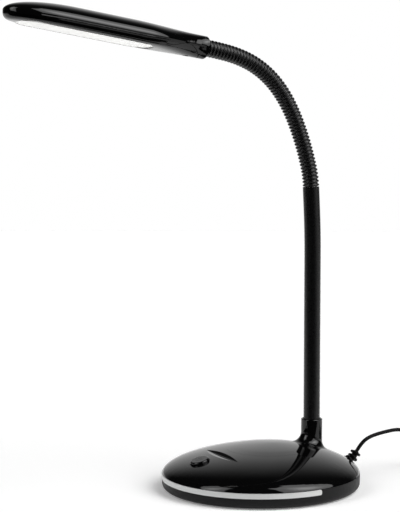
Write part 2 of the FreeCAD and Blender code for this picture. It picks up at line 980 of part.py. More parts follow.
def head_outline(distance, inset):
    """Half width, top, bottom, height of the widest place and squareness of the lower half."""
    half_width = eased(distance, widening, head_neck_radius, head_half_width)
    half_width *= tip_share(distance, plan_rounding)
    middle = eased(distance, widening, 0.0, head_widest_height)
    middle += (head_tip_height - middle) * into_tip(distance, plan_rounding[0]) ** 6
    top = eased(distance, rising, head_neck_radius, head_top)
    top = head_tip_height + (top - head_tip_height) * tip_share(distance, top_rounding)
    bottom = eased(distance, lifting, head_neck_bottom, head_bottom)
    bottom = head_tip_height + (bottom - head_tip_height) * tip_share(distance, bottom_rounding)
    squareness = eased(distance, squaring, neck_roundness, lower_roundness)
    squareness += (neck_roundness - squareness) * into_tip(distance, plan_rounding[0]) ** plan_rounding[1]
    return half_width - inset, top - inset, bottom + inset, middle, squareness


def outline_point(outline, turn):
    """Point of a section, at this angle from the top: a rounded half above, a squarer one below."""
    half_width, top, bottom, middle, squareness = outline
    upper = math.cos(turn) >= 0
    power = 2 / (upper_roundness if upper else squareness)
    reach = top - middle if upper else middle - bottom
    across = math.copysign(abs(math.sin(turn)) ** power, math.sin(turn)) * half_width
    height = middle + math.copysign(abs(math.cos(turn)) ** power, math.cos(turn)) * reach
    return Vector(across, height, 0)


def evenly_spaced(outline):
    """Points of a section at even steps along its outline, from the top."""
    fine = [outline_point(outline, 2 * math.pi * step / outline_steps) for step in range(outline_steps + 1)]
    travelled = [0.0]
    for before, after in zip(fine, fine[1:]):
        travelled.append(travelled[-1] + before.distanceToPoint(after))
    points = []
    index = 0
    for step in range(points_per_section):
        goal = travelled[-1] * step / points_per_section
        while travelled[index + 1] < goal:
            index += 1
        share = (goal - travelled[index]) / (travelled[index + 1] - travelled[index])
        points.append(fine[index] + (fine[index + 1] - fine[index]) * share)
    return points


def section_wire(distance, inset):
    """Closed section of the head as a roof, two sides and a floor that run on smoothly."""
    points = [point + Vector(0, 0, distance) for point in evenly_spaced(head_outline(distance, inset))]
    first = points_per_section // (2 * section_edges)
    points = points[first:] + points[:first]
    parameters = [step / points_per_section for step in range(points_per_section + 1)]
    curve = Part.BSplineCurve()
    curve.interpolate(Points=points, PeriodicFlag=True, Parameters=parameters)
    share = 1 / section_edges
    return Part.Wire([curve.toShape(edge * share, (edge + 1) * share) for edge in range(section_edges)])


def section_distances():
    """Distances of the sections from the neck's end, closer together towards the tip."""
    reach = head_length - tip_flat
    steps_left = [1 - step / head_sections for step in range(head_sections + 1)]
    return [reach * (1 - left ** section_crowding) for left in steps_left]


def head_body(inset, end=None):
    """Outside of the head, drawn in all round, up to this distance or to the tip."""
    distances = [distance for distance in section_distances() if end is None or distance < end]
    return Part.makeLoft([section_wire(distance, inset) for distance in distances], True)


def head_envelope():
    """Turned shape that rounds the neck's end and leaves the rest of the head whole."""
    end = head_length + pass_through
    envelope_end = 2 * neck_end_round
    neck_radius = head_neck_radius + envelope_margin
    face = neck_radius - neck_end_round
    diagonal = neck_end_round * math.sqrt(0.5)
    arc = Part.Arc(
        Vector(face, 0, 0),
        Vector(face + diagonal, 0, neck_end_round - diagonal),
        Vector(neck_radius, 0, neck_end_round),
    )
    outline = [
        Vector(neck_radius, 0, neck_end_round), Vector(neck_radius, 0, envelope_end),
        Vector(past_everything, 0, envelope_end), Vector(past_everything, 0, end), Vector(0, 0, end),
        Vector(0, 0, 0), Vector(face, 0, 0),
    ]
    edges = [arc.toShape()]
    edges += [Part.LineSegment(start, stop).toShape() for start, stop in zip(outline, outline[1:])]
    return Part.Face(Part.Wire(edges)).revolve(Vector(0, 0, 0), UP, 360)


def head_cavity():
    side = past_everything
    corner = Vector(-side / 2, -side / 2, neck_bore_depth)
    limit = Part.makeBox(side, side, head_length - cavity_end_wall - neck_bore_depth, corner)
    return head_body(head_wall, head_length - cavity_end_wall / 2).common(limit)


def below_seam():
    """Everything under the parting line of the head, as one block across it."""
    reach = head_length + pass_through
    points = [Vector(0, height, distance) for distance, height in seam_points]
    curve = Part.BSplineCurve()
    curve.interpolate(points[1:])
    far = Vector(0, head_split_height, reach)
    far_low = Vector(0, points[0].y, reach)
    edges = [Part.LineSegment(points[0], points[1]).toShape(), curve.toShape()]
    outline = [points[-1], far, far_low, points[0]]
    edges += [Part.LineSegment(start, stop).toShape() for start, stop in zip(outline, outline[1:])]
    face = Part.Face(Part.Wire(edges))
    solid = face.extrude(ACROSS * past_everything)
    solid.translate(ACROSS * (-past_everything / 2))
    return solid


def window_prism(growth, low, high):
    """Block with rounded corners over the light window, between two heights of the head's frame."""
    half = window_half_width + growth
    start = window_start - growth
    end = window_end + growth
    box = Part.makeBox(2 * half, high - low, end - start, Vector(-half, low, start))
    corner_edges = [edge for edge in box.Edges if abs(edge.BoundBox.YLength - (high - low)) < 1e-6]
    corner_edges = [
        edge for edge in corner_edges
        if edge.BoundBox.XLength < 1e-3 and edge.BoundBox.ZLength < 1e-3
    ]
    return box.makeFillet(window_corner + growth, corner_edges)


def head_post(radius, distance, low, high):
    return Part.makeCylinder(radius, high - low, Vector(0, low, distance), Vector(0, 1, 0))


window_end = head_length - window_end_margin
led_board_start = window_start + led_board_start_margin
led_board_end = window_end - led_board_end_margin
led_board_middle = (led_board_start + led_board_end) / 2
led_post_places = (led_board_start + led_post_margin, led_board_middle, led_board_end - led_post_margin)
led_board_top = led_board_floor + board_thickness
window_floor_top = head_bottom + head_wall
head_screw_seat = head_neck_bottom + head_screw_recess_depth


def head_pieces():
    """The head's two shells, in its own frame."""
    outer = head_body(0).common(head_envelope())
    hollow = outer.cut(head_cavity())
    lower_zone = below_seam()
    dropped_zone = below_seam()
    dropped_zone.translate(Vector(0, -seam_gap, seam_gap))
    seam_groove = lower_zone.cut(dropped_zone).cut(head_body(seam_depth, head_length - seam_depth))
    lower_post_top = head_screw_seat + head_screw_floor
    roof_posts = [head_post(led_post_radius, place, led_board_top, past_head) for place in led_post_places]
    screw_post = head_post(head_screw_post_radius, head_screw_place, lower_post_top, past_head)
    inner_posts = fused(roof_posts + [screw_post]).common(outer)
    bush_bore = Part.makeCylinder(sleeve_bore_radius, neck_bore_depth + 1)
    upper = hollow.cut(lower_zone).fuse(inner_posts).cut(bush_bore)
    screw_end = head_screw_seat + head_screw_length
    upper = upper.cut(head_post(small_screw_radius, head_screw_place, -past_head, screw_end))
    lower_post_radius = head_screw_recess_radius + head_screw_post_wall
    lower_post = head_post(lower_post_radius, head_screw_place, -past_head, lower_post_top)
    lower = hollow.common(lower_zone).fuse(lower_post.common(outer).common(lower_zone)).cut(seam_groove)
    lower = lower.cut(bush_bore)
    lower = lower.cut(window_prism(0, -past_head, window_floor_top + 1))
    lower = lower.cut(window_prism(diffuser_flange + diffuser_clearance, window_floor_top, 0))
    lower = lower.cut(head_post(head_screw_recess_radius, head_screw_place, -past_head, head_screw_seat))
    lower = lower.cut(head_post(small_screw_radius + screw_hole_clearance, head_screw_place, -past_head, 0))
    return upper.removeSplitter(), lower.removeSplitter()


def make_diffuser():
    face = head_bottom + diffuser_recess
    pane = window_prism(-diffuser_clearance, face, window_floor_top)
    flange_top = window_floor_top + diffuser_flange_thickness
    return fused([pane, window_prism(diffuser_flange, window_floor_top, flange_top)])


def box_wire(half_width, start, end, height):
    corners_at = [(-half_width, start), (half_width, start), (half_width, end), (-half_width, end)]
    points = [Vector(x, height, z) for x, z in corners_at]
    return Part.makePolygon(points + points[:1])


def make_reflector():
    """White trough with sloping sides between the chips and the diffuser."""
    low = window_floor_top + diffuser_flange_thickness
    high = led_board_floor
    wide = window_half_width - reflector_side_inset
    narrow = led_board_half_width - reflector_board_side
    start, end = window_start + reflector_end_inset, window_end - reflector_end_inset
    board_start, board_end = led_board_start + reflector_board_end, led_board_end - reflector_board_end
    trough = {}
    for growth in (0, reflector_wall):
        wires = [
            box_wire(wide + growth, start - growth, end + growth, low),
            box_wire(narrow + growth, board_start - growth, board_end + growth, high),
        ]
        trough[growth] = Part.makeLoft(wires, True, True)
    return trough[reflector_wall].cut(trough[0])


def make_led_board():
    half = led_board_half_width
    length = led_board_end - led_board_start
    return Part.makeBox(2 * half, board_thickness, length, Vector(-half, led_board_floor, led_board_start))


def make_led_chips():
    chips = []
    spacing = (led_board_end - led_board_start - 2 * led_end_margin) / (led_count - 1)
    for index in range(led_count):
        middle = led_board_start + led_end_margin + index * spacing
        corner = Vector(-led_length / 2, led_board_floor - led_height, middle - led_width / 2)
        chips.append(Part.makeBox(led_length, led_height, led_width, corner))
    return Part.makeCompound(chips)


def make_head_screw():
    head_low = head_screw_seat - small_screw_head_height
    head = head_post(small_screw_head_radius, head_screw_place, head_low, head_screw_seat)
    end = head_screw_seat + head_screw_length
    return head.fuse(head_post(small_screw_radius, head_screw_place, head_screw_seat, end))


def make_head_lead():
    start = Vector(head_lead_side, head_lead_height, bush_length + ring_gap + ring_thickness + ring_gap)
    return cylinder(head_lead_radius, start, Vector(head_lead_side, head_lead_height, led_board_start))


# Strain relief, cord, coil and plug

def relief_place(turn):
    """Place on the relief's centreline after this many degrees of its bend, z along the cord."""
    start = Placement(Vector(0, relief_exit, seam_height), Rotation(ACROSS, -90))
    radius = relief_bend_radius
    angle = math.radians(turn)
    step = Vector(0, -radius * (1 - math.cos(angle)), radius * math.sin(angle))
    return start.multiply(Placement(step, Rotation(ACROSS, turn)))


relief_end_place = placed_along(relief_place(relief_bend), relief_end_length)


def relief_rib(place):
    """Disc with a rounded rim round the relief."""
    low = Vector(0, 0, -relief_rib_thickness / 2)
    disc = Part.makeCylinder(relief_rib_radius, relief_rib_thickness, low)
    rims = [edge for edge in disc.Edges if edge.BoundBox.ZLength < 0.01]
    return placed(disc.makeFillet(relief_rib_round, rims), place)


def make_strain_relief():
    straight_start = Vector(0, relief_inner_end, seam_height)
    straight = cylinder(relief_radius, straight_start, Vector(0, relief_exit, seam_height))
    face = Part.Face(ring_wire(relief_radius, relief_place(0)))
    centre = Vector(0, relief_exit, seam_height + relief_bend_radius)
    bend = face.revolve(centre, ACROSS, relief_bend)
    end = cylinder_in(relief_place(relief_bend), relief_radius, 0, relief_end_length)
    ribs = [relief_rib(relief_place(turn)) for turn in relief_rib_turns]
    ribs.append(relief_rib(placed_along(relief_place(relief_bend), relief_last_rib)))
    inner_flange_end = straight_start + BACKWARD * relief_flange_thickness
    flange = cylinder(relief_flange_radius, straight_start, inner_flange_end)
    outer_start = Vector(0, base_half_length + relief_outer_gap, seam_height)
    outer_flange = cylinder(relief_rib_radius, outer_start, outer_start + BACKWARD * relief_outer_thickness)
    return fused([straight, bend, end, flange, outer_flange] + ribs)


def cord_route():
    """Points of the free cord from the strain relief to the coil."""
    tip = relief_end_place.Base
    first = placed_along(relief_end_place, 8.0).Base
    return [
        tip,
        first,
        Vector(0, 108.3, 32.7),
        Vector(0, 124.0, 35.4),
        Vector(0, 140.0, 36.6),
        Vector(0, 154.5, 31.5),
        Vector(0, 164.5, 20.5),
        Vector(0, 172.5, 8.0),
        Vector(0, 184.0, cord_height),
        Vector(0, coil_start_back, cord_height),
    ]


coil_centre = Vector(coil_outer_radius, coil_start_back + coil_end_run, 0)


def coil_point(turns):
    """Centre of the coiled cord after this many turns: spirals in and out, a layer at a time."""
    there_and_back = turns % (2 * coil_turns_per_layer)
    inward = min(there_and_back, 2 * coil_turns_per_layer - there_and_back)
    radius = coil_outer_radius - coil_pitch * inward
    reversal = math.floor(turns / coil_turns_per_layer + 0.5)
    share = (turns - reversal * coil_turns_per_layer) * 2 + 0.5
    share = min(max(share, 0.0), 1.0)
    if reversal == 0:
        share = 1.0
    if reversal == coil_layers:
        share = 0.0
    climb = share * share * (3 - 2 * share)
    height = cord_height + coil_pitch * (reversal - 1 + climb)
    angle = math.pi - 2 * math.pi * turns
    return coil_centre + Vector(radius * math.cos(angle), radius * math.sin(angle), height)


def round_tangent(turns):
    """Direction of a circle about the coil's centre, clockwise seen from above."""
    angle = math.pi - 2 * math.pi * turns
    return Vector(math.sin(angle), -math.cos(angle), 0)


def coil_tangent(turns):
    if turns in (0, coil_turns):
        return round_tangent(turns)
    step = 0.01
    return (coil_point(turns + step) - coil_point(turns - step)).normalize()


def arc_from(start, direction, end):
    """Arc that leaves the start in this direction and reaches the end."""
    chord = end - start
    along = Vector(chord).normalize()
    side = direction - along * direction.dot(along)
    if side.Length < 1e-9:
        return Part.LineSegment(start, end).toShape()
    half_angle = direction.getAngle(along) / 2
    middle = (start + end) * 0.5 + side.normalize() * (chord.Length / 2 * math.tan(half_angle))
    return Part.Arc(start, middle, end).toShape()


def biarc(start, start_way, end, end_way):
    """Two tangent arcs from one point and direction to another."""
    chord = end - start
    ways = start_way + end_way
    spread = 2 * (1 - start_way.dot(end_way))
    lean = chord.dot(ways)
    reach = (math.sqrt(lean ** 2 + spread * chord.dot(chord)) - lean) / spread
    meeting = (start + end + (start_way - end_way) * reach) * 0.5
    first = arc_from(start, start_way, meeting)
    second = arc_from(end, end_way * -1, meeting)
    return [first, second]


def coil_steps():
    quarters = int(round(coil_turns * 4))
    return [quarter / 4 for quarter in range(quarters + 1)]


def coil_wire():
    steps = coil_steps()
    start = coil_point(0)
    edges = [Part.LineSegment(start - round_tangent(0) * coil_end_run, start).toShape()]
    for before, after in zip(steps, steps[1:]):
        edges += biarc(coil_point(before), coil_tangent(before), coil_point(after), coil_tangent(after))
    end = coil_point(coil_turns)
    edges.append(Part.LineSegment(end, end + round_tangent(coil_turns) * coil_end_run).toShape())
    return Part.Wire(edges)


def coil_self_gap(path):
    """Least space between turns, measured on points that lie over half a turn apart along the cord."""
    points = path.discretize(Distance=coil_probe_step)
    skip = int(math.pi * (coil_outer_radius - coil_turns_per_layer * coil_pitch) / coil_probe_step)
    least = coil_outer_radius
    for index, point in enumerate(points):
        for other in points[index + skip:]:
            least = min(least, point.distanceToPoint(other))
    return least - 2 * cord_radius


def make_coil():
    path = coil_wire()
    start = coil_point(0) - round_tangent(0) * coil_end_run
    section = Part.Wire(Part.Circle(start, round_tangent(0), cord_radius).toShape())
    solid = path.makePipeShell([section], True, False)
    ratio = solid.Volume / (math.pi * cord_radius ** 2 * path.Length)
    print("coil: length %.1f, volume over section times length %.4f, least self gap %.2f" % (
        path.Length, ratio, coil_self_gap(path)))
    return solid


def make_coil_tie():
    """Flat tie round the bundle of turns, at the side nearest the lamp."""
    half = tie_width / 2
    inner_radius = coil_outer_radius - coil_pitch * (coil_turns_per_layer - 0.25) - cord_radius
    inner = math.sqrt(inner_radius ** 2 - half ** 2) - tie_gap
    outer = coil_outer_radius - coil_pitch * 0.25 + cord_radius + tie_gap
    top = cord_height + coil_pitch * (coil_layers - 1) + cord_radius + tie_gap
    y_inner = coil_centre.y - inner
    y_outer = coil_centre.y - outer
    low = cord_height - cord_radius - tie_gap
    hole = block(coil_centre.x - half - 1, coil_centre.x + half + 1, y_outer, y_inner, low, top)
    body = block(
        coil_centre.x - half, coil_centre.x + half,
        y_outer - tie_thickness, y_inner + tie_thickness, low - tie_thickness, top + tie_thickness,
    )
    return body.cut(hole)


def tail_route():
    """Points from the coil's end down to the plug's neck."""
    start = coil_point(coil_turns) + round_tangent(coil_turns) * coil_end_run
    axis = plug_thickness / 2
    return [
        start,
        start + Vector(8, 0, 0),
        Vector(start.x + 18, start.y, start.z - 3.6),
        Vector(start.x + 28, start.y - 1, axis),
        Vector(start.x + 38, start.y - 1, axis),
    ]


def make_plug_body():
    entry = tail_route()[-1]
    low = entry + Vector(plug_neck_length, -plug_width / 2, -plug_thickness / 2)
    box = Part.makeBox(plug_length - plug_neck_length, plug_width, plug_thickness, low)
    box = box.makeFillet(plug_round, [edge for edge in box.Edges if edge.BoundBox.XLength > 1])
    neck = Part.makeCone(plug_neck_tip_radius, plug_neck_radius, plug_neck_length + 1, entry, ACROSS)
    return fused([box, neck])


def make_plug_pins():
    face = tail_route()[-1] + Vector(plug_length, 0, 0)
    pins = []
    for side in (-1, 1):
        start = face + Vector(0, side * pin_spacing / 2, 0)
        pin = cylinder(pin_radius, start, start + ACROSS * pin_length)
        tip = [edge for edge in pin.Edges if edge.BoundBox.XMin > start.x + pin_length - 0.1]
        pins.append(pin.makeFillet(pin_round, tip))
    return Part.makeCompound(pins)


def save_base():
    save("base_shell", make_base_shell())
    save("base_tray", make_base_tray())
    save("trim_strip", make_trim_strip())
    save("foot_pad", make_foot_pad())
    save("base_screws", make_base_screws())
    save("ballast_plate", make_ballast())
    save("power_button", make_button())
    save("switch_plunger", make_plunger())
    save("switch_body", make_switch_body())
    save("switch_board", make_switch_board())
    save("switch_screws", make_switch_screws())
    save("driver_board", make_driver_board())
    save("driver_screws", make_driver_screws())
    save("driver_components", make_driver_components())
    save("terminal_block", make_terminal_block())
    save("lead_connector", make_lead_connector())
    save("cord_inner_lead", tube("inner cord lead", cord_inner_route(), cord_radius))
    save("switch_lead", tube("switch lead", switch_lead_route(), lead_radius))
    save("stem_lead", tube("stem lead", lead_route_to_head(), lead_radius))


def save_stem():
    save("stem_sleeve", make_sleeve())
    save("stem_nipple", make_nipple())
    save("stem_washer", make_washer())
    save("stem_nut", make_nut())
    save("neck_bush", make_bush(neck_places[0], -1))
    save("neck_retaining_ring", make_retaining_ring(neck_places[0], -1))
    for link in range(len(link_bends)):
        save("neck_hose_%d" % (link + 1), make_hose_link(link))
        save("neck_core_%d" % (link + 1), make_core_link(link))
    save("head_bush", make_bush(head_place, 1))
    save("head_retaining_ring", make_retaining_ring(head_place, 1))


def save_head():
    upper, lower = head_pieces()
    for name, shape in (
        ("head_top_shell", upper),
        ("head_bottom_frame", lower),
        ("head_diffuser", make_diffuser()),
        ("head_reflector", make_reflector()),
        ("led_board", make_led_board()),
        ("led_chips", make_led_chips()),
        ("head_screw", make_head_screw()),
        ("head_lead", make_head_lead()),
    ):
        save(name, placed(shape, head_place))


def save_cord():
    save("strain_relief", make_strain_relief())
    save("cord_free", tube("free cord", cord_route(), cord_radius))
    save("cord_coil", make_coil())
    save("cord_tail", tube("cord tail", tail_route(), cord_radius))
    save("coil_tie", make_coil_tie())
    save("plug_body", make_plug_body())
    save("plug_pins", make_plug_pins())


def print_joints():
    for index, place in enumerate(neck_places):
        axis = place.Rotation.multVec(UP)
        print("neck joint %d at %.3f %.3f %.3f, along %.5f %.5f %.5f" % (
            index, place.Base.x, place.Base.y, place.Base.z, axis.x, axis.y, axis.z))
    press = button_place.Rotation.multVec(UP)
    print("button at %.3f %.3f %.3f, out along %.5f %.5f %.5f" % (
        button_place.Base.x, button_place.Base.y, button_place.Base.z, press.x, press.y, press.z))


os.makedirs("parts", exist_ok=True)
save_base()
save_stem()
save_head()
save_cord()
print_joints()
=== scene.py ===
import json
import math

import bpy
from mathutils import Matrix, Vector


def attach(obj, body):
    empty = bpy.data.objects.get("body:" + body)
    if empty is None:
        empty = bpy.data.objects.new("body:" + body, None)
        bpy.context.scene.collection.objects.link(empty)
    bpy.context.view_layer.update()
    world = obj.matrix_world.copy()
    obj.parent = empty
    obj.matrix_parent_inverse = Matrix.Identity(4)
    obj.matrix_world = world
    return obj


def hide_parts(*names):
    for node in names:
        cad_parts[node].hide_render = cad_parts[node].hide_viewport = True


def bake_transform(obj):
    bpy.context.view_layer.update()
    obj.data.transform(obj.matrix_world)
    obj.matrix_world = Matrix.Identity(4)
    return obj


# Gooseneck desk lamp, in metres, Z up. The head reaches along -Y, the cord leaves along +Y.

MM = 0.001

# Camera, as the photograph was taken
camera_azimuth = 60.0
camera_distance = 1.225
camera_height = 0.289
camera_pan = 0.0415
camera_pitch = 0.0778
focal_in_pixels = 1488.0
picture_width = 400.0
sensor_width = 36.0

# Gooseneck: lean and bends in degrees, the bends in turn from the sleeve's top
link_length = 18.3 * MM
ribs_per_link = 6
rib_radius = 6.95 * MM
rib_roundness = 2.6
groove_radius = 5.9 * MM
web_radius = 5.85 * MM
web_half_length = 0.9 * MM
web_rings = 5
hose_end_gap = 0.5 * MM
rib_share = 0.62
rings_per_rib = 12
sides_round = 48
shortest_arc = 0.0001 * MM
neck_first_lean = 3.0
link_bends = (11.5, 4.5, 4.5, 7.5, 11.0, 13.5, 13.5, 9.5, 3.0)

# Cord
cord_radius = 1.6 * MM
cord_height = 2.55 * MM
relief_exit = Vector((0, 84.0, 13.5)) * MM
relief_bend_radius = 11.0 * MM
relief_bend = math.radians(54.0)
relief_end_length = 3.5 * MM
relief_lead = 8.0 * MM
cord_landing = 184.0 * MM
cord_curve_order = 3
cord_curve_steps = 6
cord_curve_sides = 5
coil_radius = 24.5 * MM
coil_pitch = 3.7 * MM
coil_turns = 11.25
coil_turns_per_layer = 3
coil_layers = 4
coil_climb_turns = 0.5
coil_start_back = 196.0 * MM
coil_end_run = 3.2 * MM
coil_points_per_turn = 16
plug_axis_height = 6.8 * MM

# Where the cord hangs: distance back and height of its points, in millimetres
cord_hang = ((108.3, 32.7), (124.0, 35.4), (140.0, 36.6), (154.5, 31.5), (164.5, 20.5), (172.5, 8.0))

# Tail of the cord, by distances past the end of its coil
tail_straight = 8.0 * MM
tail_drop_at = 18.0 * MM
tail_drop = 3.6 * MM
tail_shift = 1.0 * MM
plug_lead_at = 28.0 * MM
plug_back_at = 38.0 * MM

# Power symbol printed on the button
symbol_radius = 2.6 * MM
symbol_line = 0.55 * MM
symbol_gap_angle = 70.0
symbol_lift = 0.04 * MM
symbol_steps = 40
button_tilt = 14.79
button_place = Vector((0, -57.5, 27.301)) * MM
button_proud = 2.2 * MM

# Crown of the base shell: angles in degrees, from 0 at the rim to 90 at the top
shell_half_width = 80.0 * MM
shell_half_length = 83.2 * MM
shell_rim_height = 13.5 * MM
shell_rise = 23.0 * MM
shell_shift_back = 12.0 * MM
shell_plan_power = 1.65
shell_rise_power = 1.72
shell_shift_power = 3
crown_start_angle = 60.0
crown_rings = 40
crown_sides = 128
crown_edge_lift = 0.015 * MM
crown_swell = 0.125 * MM
crown_swell_angles = (60.0, 66.5)
crown_settle_angles = (66.5, 90.0)
crown_settled = 0.2

# Head, in its own frame: x across, y up, z towards the tip
head_length = 172.4 * MM
head_tip_flat = 0.15 * MM
head_neck_radius = 9.2 * MM
head_half_width = 21.7 * MM
head_top = 10.6 * MM
head_widest_height = -2.5 * MM
head_tip_height = -1.2 * MM
widening = (6.0 * MM, 57.0 * MM)
rising = (10.0 * MM, 70.0 * MM)
plan_rounding = (47.7 * MM, 2.8)
top_rounding = (56.8 * MM, 2.0)
tip_lateness = 6
cover_start = 9.0 * MM
cover_widest_height = -1.3 * MM
cover_roundness = 1.8
cover_wall_steps = 6
cover_lift = 0.03 * MM
cover_rings = 150
cover_sides = 84
cover_crowding = 1.6
window_start = 49.0 * MM
window_end = 160.4 * MM
window_half_width = 16.4 * MM
window_corner = 13.0 * MM
window_corner_steps = 12
bead_radius = 0.12 * MM
bead_height = -8.33 * MM
bead_sides = 10

# Studio: angles are in degrees, from the front towards +X and up from the horizon
sheet_half_width = 2.5
sheet_front_edge = 0.14
sheet_back_edge = 3.5
sheet_shine = 0.16
box_edge_softness = 1.2
soft_boxes = (
    {"left": -1.0, "right": 26.0, "lean": (-0.47, -0.22), "low": 8.0, "high": 65.0,
     "edge_light": 1.4, "middle_light": 3.6},
    {"left": 90.0, "right": 146.0, "lean": (0.0, 0.42), "low": 14.0, "high": 76.0,
     "edge_light": 1.8, "middle_light": 5.0},
    {"left": 106.0, "right": 160.0, "lean": (0.0, 0.0), "low": -8.0, "high": 6.0,
     "edge_light": 0.5, "middle_light": 0.6},
)
backdrop_azimuth = 122.0
backdrop_lean = 0.35
backdrop_side_fade = (60.0, 5.0)
backdrop_top_fade = (64.0, 18.0)
backdrop_light = 0.55
backdrop_seen = 0.85
room_light = 0.01
studio_level = 1.42

# Part of a noise's range that is spread from a surface's lowest roughness to its highest
noise_spread = (0.3, 0.7)

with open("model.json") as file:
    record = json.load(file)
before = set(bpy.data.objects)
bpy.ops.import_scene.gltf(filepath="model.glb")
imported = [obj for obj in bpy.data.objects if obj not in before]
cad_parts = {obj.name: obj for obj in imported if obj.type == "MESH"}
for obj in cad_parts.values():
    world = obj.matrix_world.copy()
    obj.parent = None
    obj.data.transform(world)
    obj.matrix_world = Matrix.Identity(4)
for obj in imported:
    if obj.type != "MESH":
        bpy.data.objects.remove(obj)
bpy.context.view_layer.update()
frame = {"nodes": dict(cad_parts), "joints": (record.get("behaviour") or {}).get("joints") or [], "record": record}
nodes = frame["nodes"]
scene = bpy.context.scene


# Materials

class Surface:
    """A material with one Principled shader, and short ways to drive its sockets."""

    def __init__(self, name):
        self.material = bpy.data.materials.new(name)
        self.material.use_nodes = True
        self.tree = self.material.node_tree
        self.shader = self.tree.nodes["Principled BSDF"]
        self.place = self.tree.nodes.new("ShaderNodeTexCoord").outputs["Object"]

    def add(self, kind, **inputs):
        node = self.tree.nodes.new(kind)
        for key, value in inputs.items():
            name = key.replace("_", " ").title()
            node.inputs[name].default_value = value
        return node

    def link(self, start, end):
        self.tree.links.new(start, end)

    def noise(self, scale, detail=3.0):
        node = self.add("ShaderNodeTexNoise", scale=scale, detail=detail)
        self.link(self.place, node.inputs["Vector"])
        return node.outputs["Fac"]

    def colour(self, source, dark, light):
        node = self.add("ShaderNodeMix")
        node.data_type = "RGBA"
        colours = [socket for socket in node.inputs if socket.type == "RGBA"]
        colours[0].default_value = (*dark, 1)
        colours[1].default_value = (*light, 1)
        self.link(source, node.inputs["Factor"])
        result = [socket for socket in node.outputs if socket.type == "RGBA"][0]
        self.link(result, self.shader.inputs["Base Color"])

    def roughness(self, source, low, high):
        node = self.add("ShaderNodeMapRange")
        node.inputs["From Min"].default_value, node.inputs["From Max"].default_value = noise_spread
        node.inputs["To Min"].default_value = low
        node.inputs["To Max"].default_value = high
        self.link(source, node.inputs["Value"])
        self.link(node.outputs["Result"], self.shader.inputs["Roughness"])

    def bump(self, source, depth, strength):
        node = self.add("ShaderNodeBump", strength=strength, distance=depth)
        self.link(source, node.inputs["Height"])
        self.link(node.outputs["Normal"], self.shader.inputs["Normal"])

    def set(self, **values):
        for key, value in values.items():
            self.shader.inputs[key.replace("_", " ")].default_value = value


def grey(level):
    return (level, level, level)


def gloss_black():
    """Polished black moulding with a very faint unevenness."""
    surface = Surface("gloss black")
    surface.set(IOR=1.42)
    wear = surface.noise(scale=35.0, detail=4.0)
    surface.colour(wear, dark=(0.0012, 0.0012, 0.0013), light=(0.0022, 0.0022, 0.0023))
    surface.roughness(wear, low=0.03, high=0.05)
    surface.bump(surface.noise(scale=60.0), depth=0.01 * MM, strength=0.15)
    return surface.material


def plastic(name, dark, light, rough, grain=2200.0, depth=0.03 * MM, sheen=0.5):
    """Moulded plastic, rubber or foam, with its lowest and highest roughness and the scale of its grain."""
    surface = Surface(name)
    surface.set(IOR=1.48, Specular_IOR_Level=sheen)
    surface.colour(surface.noise(scale=90.0), dark, light)
    surface.roughness(surface.noise(scale=300.0), *rough)
    surface.bump(surface.noise(scale=grain), depth, strength=0.4)
    return surface.material


def metal(name, dark, light, rough, brushed=1.0):
    """Bare or plated metal, whose fine lines run lengthways where brushed is below 1."""
    surface = Surface(name)
    surface.set(Metallic=1.0)
    stretch = surface.add("ShaderNodeMapping")
    stretch.inputs["Scale"].default_value = (1, 1, brushed)
    surface.link(surface.place, stretch.inputs["Vector"])
    lines = surface.add("ShaderNodeTexNoise", scale=900.0, detail=3.0)
    surface.link(stretch.outputs["Vector"], lines.inputs["Vector"])
    surface.colour(surface.noise(scale=120.0), dark, light)
    surface.roughness(lines.outputs["Fac"], *rough)
    surface.bump(lines.outputs["Fac"], depth=0.02 * MM, strength=0.2)
    return surface.material


def satin_sleeve():
    """Black powder coat, with its very fine orange peel."""
    surface = Surface("satin sleeve")
    surface.set(IOR=1.5, Specular_IOR_Level=0.3)
    surface.colour(
        surface.noise(scale=150.0), dark=(0.0032, 0.0032, 0.0034), light=(0.0046, 0.0046, 0.0048),
    )
    surface.roughness(surface.noise(scale=500.0), low=0.26, high=0.32)
    surface.bump(surface.noise(scale=1500.0), depth=0.04 * MM, strength=0.35)
    return surface.material


def silver_paint():
    """Silver paint with fine metal flakes."""
    surface = Surface("silver paint")
    surface.set(IOR=1.5, Metallic=0.25)
    flake = surface.noise(scale=5000.0, detail=1.0)
    surface.colour(flake, dark=(0.58, 0.59, 0.585), light=(0.70, 0.71, 0.70))
    surface.roughness(flake, low=0.30, high=0.40)
    surface.bump(flake, depth=0.01 * MM, strength=0.3)
    return surface.material


def opal():
    """Milky pane with a painted glow: its emission stands in for the light the white room would give it from both
    sides.
    """
    surface = Surface("opal pane")
    # Emission Strength is a painted glow in place of room light; the pane is not a lamp here
    surface.set(IOR=1.49, Subsurface_Weight=0.3, Subsurface_Scale=2.0 * MM, Emission_Strength=0.35)
    surface.set(Subsurface_Radius=(1.0, 1.0, 0.95), Emission_Color=(1.0, 1.0, 0.97, 1))
    surface.colour(surface.noise(scale=40.0), dark=(0.90, 0.90, 0.88), light=(0.93, 0.93, 0.91))
    surface.roughness(surface.noise(scale=200.0), low=0.25, high=0.32)
    surface.bump(surface.noise(scale=1800.0), depth=0.01 * MM, strength=0.2)
    return surface.material


def laminate():
    """Green solder mask over the copper of a circuit board."""
    surface = Surface("green laminate")
    surface.set(IOR=1.5, Coat_Weight=0.4, Coat_Roughness=0.15)
    surface.colour(surface.noise(scale=260.0), dark=(0.008, 0.075, 0.028), light=(0.014, 0.11, 0.042))
    surface.roughness(surface.noise(scale=400.0), low=0.3, high=0.4)
    surface.bump(surface.noise(scale=1800.0), depth=0.02 * MM, strength=0.3)
    return surface.material


